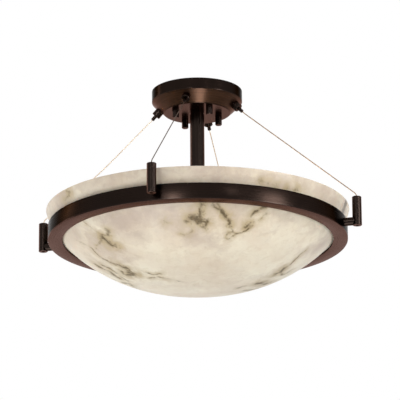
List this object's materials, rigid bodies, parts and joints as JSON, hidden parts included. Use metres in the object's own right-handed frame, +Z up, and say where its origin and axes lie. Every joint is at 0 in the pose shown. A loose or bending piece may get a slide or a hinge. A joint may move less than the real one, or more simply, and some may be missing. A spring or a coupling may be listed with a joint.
{
  "type": "semi flush ceiling light",
  "caption": "Shallow alabaster bowl in a dark bronze ring, hung by steel cables from a bevelled ceiling canopy with a central stem that carries the lamps.",
  "frame": {"origin": "centre of the mounting plate's top face, in the ceiling plane, midway between the two outlet-box slots", "axes": "+Z up into the ceiling, along the stem; +X along the line of the two slots and towards the right post; -Y towards the front post"},
  "size_m": [0.5116, 0.5116, 0.3156],
  "materials": {
    "bronze": "dark brushed bronze",
    "zinc_steel": "zinc plated",
    "bright_steel": "polished",
    "cable_steel": "stranded stainless wire",
    "green_steel": "green dyed zinc",
    "alabaster": "honed, grey and olive veins",
    "silicone": "translucent matte",
    "porcelain": "glazed",
    "brass": "plain",
    "bulb_cap": "rolled",
    "frosted_glass": "frosted white"
  },
  "bodies": {
    "fixture": {"canopy": "bronze", "stem_collar": "bronze", "stem": "bronze", "cluster_body": "bronze", "cluster_cover": "bronze", "ring": "bronze", "mounting_plate": "zinc_steel", "canopy_studs": "zinc_steel", "stud_nuts": "zinc_steel", "stem_nipple": "zinc_steel", "nipple_nut": "zinc_steel", "nipple_washer": "zinc_steel", "cluster_nipple": "zinc_steel", "cluster_nut": "zinc_steel", "gripper_nuts": "zinc_steel", "cable_stops": "zinc_steel", "post_screws": "zinc_steel", "ground_screw": "green_steel", "post_front": "bronze", "gripper_body_front": "bronze", "cable_front": "cable_steel", "post_right": "bronze", "gripper_body_right": "bronze", "cable_right": "cable_steel", "post_back": "bronze", "gripper_body_back": "bronze", "cable_back": "cable_steel", "post_left": "bronze", "gripper_body_left": "bronze", "cable_left": "cable_steel", "ring_cushion": "silicone", "lampholder_a": "porcelain", "screw_shell_a": "brass", "lampholder_b": "porcelain", "screw_shell_b": "brass", "lampholder_c": "porcelain", "screw_shell_c": "brass", "centre_contacts": "brass"},
    "bowl": {"bowl": "alabaster"},
    "plunger_front": {"gripper_plunger_front": "bronze", "gripper_balls_front": "bright_steel"},
    "plunger_right": {"gripper_plunger_right": "bronze", "gripper_balls_right": "bright_steel"},
    "plunger_back": {"gripper_plunger_back": "bronze", "gripper_balls_back": "bright_steel"},
    "plunger_left": {"gripper_plunger_left": "bronze", "gripper_balls_left": "bright_steel"},
    "bulb_a": {"bulb_base_a": "bulb_cap", "bulb_glass_a": "frosted_glass"},
    "bulb_b": {"bulb_base_b": "bulb_cap", "bulb_glass_b": "frosted_glass"},
    "bulb_c": {"bulb_base_c": "bulb_cap", "bulb_glass_c": "frosted_glass"},
    "cap_a": {"cap_nut_a": "bronze"},
    "cap_b": {"cap_nut_b": "bronze"},
    "cap_c": {"cap_nut_c": "bronze"},
    "cap_d": {"cap_nut_d": "bronze"}
  },
  "joints": [
    {"name": "bowl_lift", "type": "slide", "parent": "fixture", "child": "bowl", "axis": [0, 0, 1], "range_m": [0, 0.018]},
    {"name": "gripper_release_front", "type": "slide", "parent": "fixture", "child": "plunger_front", "axis": [0, 0.6825, 0.7309], "range_m": [0, 0.0022], "stiffness_N_per_m": 600, "springref_m": -0.002},
    {"name": "gripper_release_right", "type": "slide", "parent": "fixture", "child": "plunger_right", "axis": [-0.6825, 0, 0.7309], "range_m": [0, 0.0022], "stiffness_N_per_m": 600, "springref_m": -0.002},
    {"name": "gripper_release_back", "type": "slide", "parent": "fixture", "child": "plunger_back", "axis": [0, -0.6825, 0.7309], "range_m": [0, 0.0022], "stiffness_N_per_m": 600, "springref_m": -0.002},
    {"name": "gripper_release_left", "type": "slide", "parent": "fixture", "child": "plunger_left", "axis": [0.6825, 0, 0.7309], "range_m": [0, 0.0022], "stiffness_N_per_m": 600, "springref_m": -0.002},
    {"name": "bulb_turn_a", "type": "hinge", "parent": "fixture", "child": "bulb_a", "pos_m": [0, -0.05, -0.2258], "axis": [0, -1, 0], "continuous": true},
    {"name": "bulb_turn_b", "type": "hinge", "parent": "fixture", "child": "bulb_b", "pos_m": [0.0433, 0.025, -0.2258], "axis": [0.866, 0.5, 0], "continuous": true},
    {"name": "bulb_turn_c", "type": "hinge", "parent": "fixture", "child": "bulb_c", "pos_m": [-0.0433, 0.025, -0.2258], "axis": [-0.866, 0.5, 0], "continuous": true},
    {"name": "cap_nut_turn_a", "type": "hinge", "parent": "fixture", "child": "cap_a", "pos_m": [0.02694, 0.02694, -0.0411], "axis": [0, 0, 1], "continuous": true},
    {"name": "cap_nut_turn_b", "type": "hinge", "parent": "fixture", "child": "cap_b", "pos_m": [-0.02694, 0.02694, -0.0411], "axis": [0, 0, 1], "continuous": true},
    {"name": "cap_nut_turn_c", "type": "hinge", "parent": "fixture", "child": "cap_c", "pos_m": [-0.02694, -0.02694, -0.0411], "axis": [0, 0, 1], "continuous": true},
    {"name": "cap_nut_turn_d", "type": "hinge", "parent": "fixture", "child": "cap_d", "pos_m": [0.02694, -0.02694, -0.0411], "axis": [0, 0, 1], "continuous": true}
  ]
}
